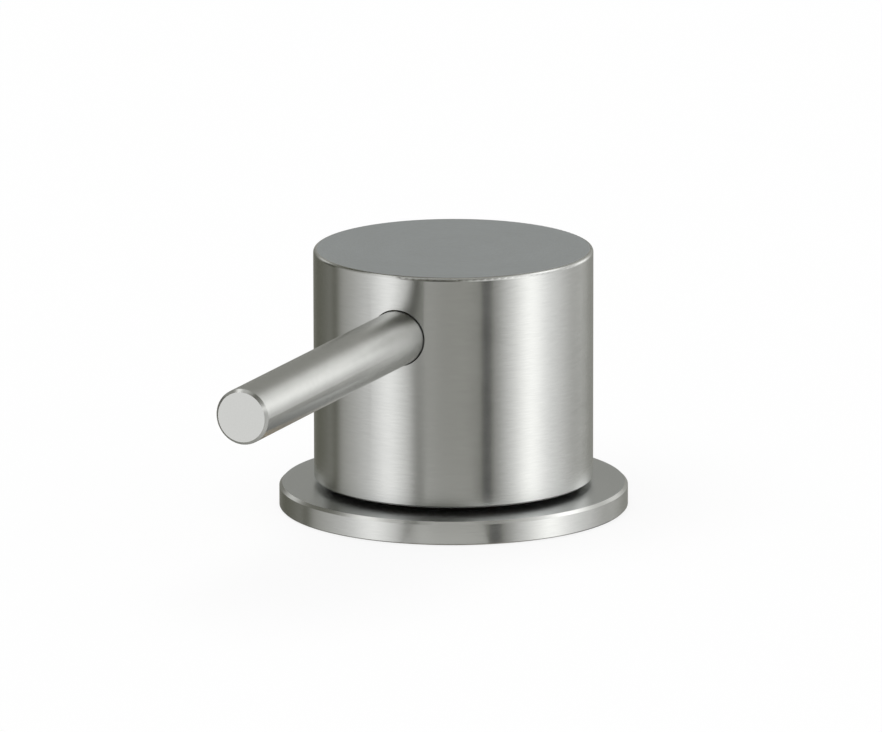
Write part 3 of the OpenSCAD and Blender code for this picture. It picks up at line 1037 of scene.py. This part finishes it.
    def build_floor(self, hole: float = 17.5, reach: float = 3000.0) -> bpy.types.Object:
        """The pale deck that the tap stands on, with the hole for its shank.

        Args:
            hole: radius of the hole in millimetres.
            reach: radius of the deck in millimetres.

        Returns:
            The deck, which casts no shade on what is below it and can be looked through from there.
        """
        work = bmesh.new()
        steps = 96
        rings = []
        for radius in (hole, 60.0, 300.0, reach):
            ring = []
            for step in range(steps):
                angle = math.tau * step / steps
                place = Vector((radius * math.cos(angle), radius * math.sin(angle), -0.1))
                ring.append(work.verts.new(place * MM))
            rings.append(ring)
        for inner, outer in zip(rings, rings[1:]):
            for step in range(steps):
                after = (step + 1) % steps
                work.faces.new((inner[step], outer[step], outer[after], inner[after]))
        mesh = bpy.data.meshes.new("deck_floor")
        work.to_mesh(mesh)
        work.free()
        mesh.materials.append(self._floor_material())
        floor = bpy.data.objects.new("deck_floor", mesh)
        floor.visible_glossy = False
        floor.visible_transmission = False
        floor.visible_shadow = False
        bpy.context.scene.collection.objects.link(floor)
        return floor

    def _floor_material(self) -> bpy.types.Material:
        """The deck's pale matt finish: most of its light its own, so that the shadow stays soft."""
        material = bpy.data.materials.new("pale_deck")
        material.use_nodes = True
        graph = Graph(material.node_tree)
        place = graph.node("ShaderNodeTexCoord", output="Object")
        mottle = graph.node("ShaderNodeTexNoise", sockets={"Vector": place, "Scale": 30.0, "Detail": 2.0})
        colour = graph.node(
            "ShaderNodeMix",
            {"data_type": "RGBA"},
            {0: mottle, 6: (0.975, 0.975, 0.975, 1.0), 7: (1.0, 1.0, 1.0, 1.0)},
            output=2,
        )
        matt = graph.node("ShaderNodeBsdfDiffuse", sockets={"Color": colour})
        own = graph.node("ShaderNodeEmission", sockets={"Color": (1.0, 1.0, 1.0, 1.0), "Strength": 1.0})
        camera = graph.node("ShaderNodeLightPath", output="Is Camera Ray")
        deck = graph.node("ShaderNodeMixShader", sockets={0: camera * self.floor_own_light, 1: matt, 2: own})
        clear = graph.node("ShaderNodeBsdfTransparent")
        below = graph.node("ShaderNodeNewGeometry", output="Backfacing")
        both = graph.node("ShaderNodeMixShader", sockets={0: below, 1: deck, 2: clear})
        graph.node("ShaderNodeOutputMaterial", sockets={"Surface": both})
        return material

    def build_near_glow(self, low: float = -17.0, high: float = 12.0) -> bpy.types.Object:
        """The faint light that the deck in front of the flange gives back to the flange's edge.

        Args:
            low: where it begins, in degrees from the camera's side to the right.
            high: where it ends.

        Returns:
            A flat ring sector that only mirrored rays see.
        """
        work = bmesh.new()
        steps = 24
        rows = []
        for radius in (30.6, 45.0):
            row = []
            for step in range(steps + 1):
                away = math.radians(low + (high - low) * step / steps + self.camera_azimuth - 90.0)
                place = Vector((radius * math.cos(away), radius * math.sin(away), -0.05))
                row.append(work.verts.new(place * MM))
            rows.append(row)
        for step in range(steps):
            work.faces.new((rows[0][step], rows[1][step], rows[1][step + 1], rows[0][step + 1]))
        mesh = bpy.data.meshes.new("near_glow")
        work.to_mesh(mesh)
        work.free()
        material = bpy.data.materials.new("near_glow")
        material.use_nodes = True
        graph = Graph(material.node_tree)
        clear = graph.node("ShaderNodeBsdfTransparent")
        light = graph.node("ShaderNodeEmission", sockets={"Strength": self.near_glow})
        both = graph.node("ShaderNodeAddShader", sockets={0: clear, 1: light})
        graph.node("ShaderNodeOutputMaterial", sockets={"Surface": both})
        mesh.materials.append(material)
        glow = bpy.data.objects.new("near_glow", mesh)
        for kind in ("camera", "diffuse", "transmission", "shadow", "volume_scatter"):
            setattr(glow, f"visible_{kind}", False)
        bpy.context.scene.collection.objects.link(glow)
        return glow

    def build(self) -> None:
        """Builds the world, the lamp, the floor and the glow in front of the flange."""
        self.build_world()
        self.build_lamp()
        self.build_floor()
        self.build_near_glow()
        bpy.context.scene.view_settings.view_transform = "Standard"


def main() -> None:
    """Builds the tap's looks and its studio."""
    logging.basicConfig(level=logging.INFO, format="%(name)s: %(message)s")
    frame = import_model()
    camera = ProductCamera()
    camera.build()
    Studio(camera_azimuth=camera.azimuth).build()
    for name in InnerParts(frame["nodes"], frame["record"]).dress():
        LOG.info("node %s dressed", name)
    for piece in SteelTrim(frame["nodes"]).build() + Underside(frame["nodes"]).build():
        LOG.info("piece %s: %d faces", piece.name, len(piece.data.polygons))


if __name__ == "__main__":
    main()
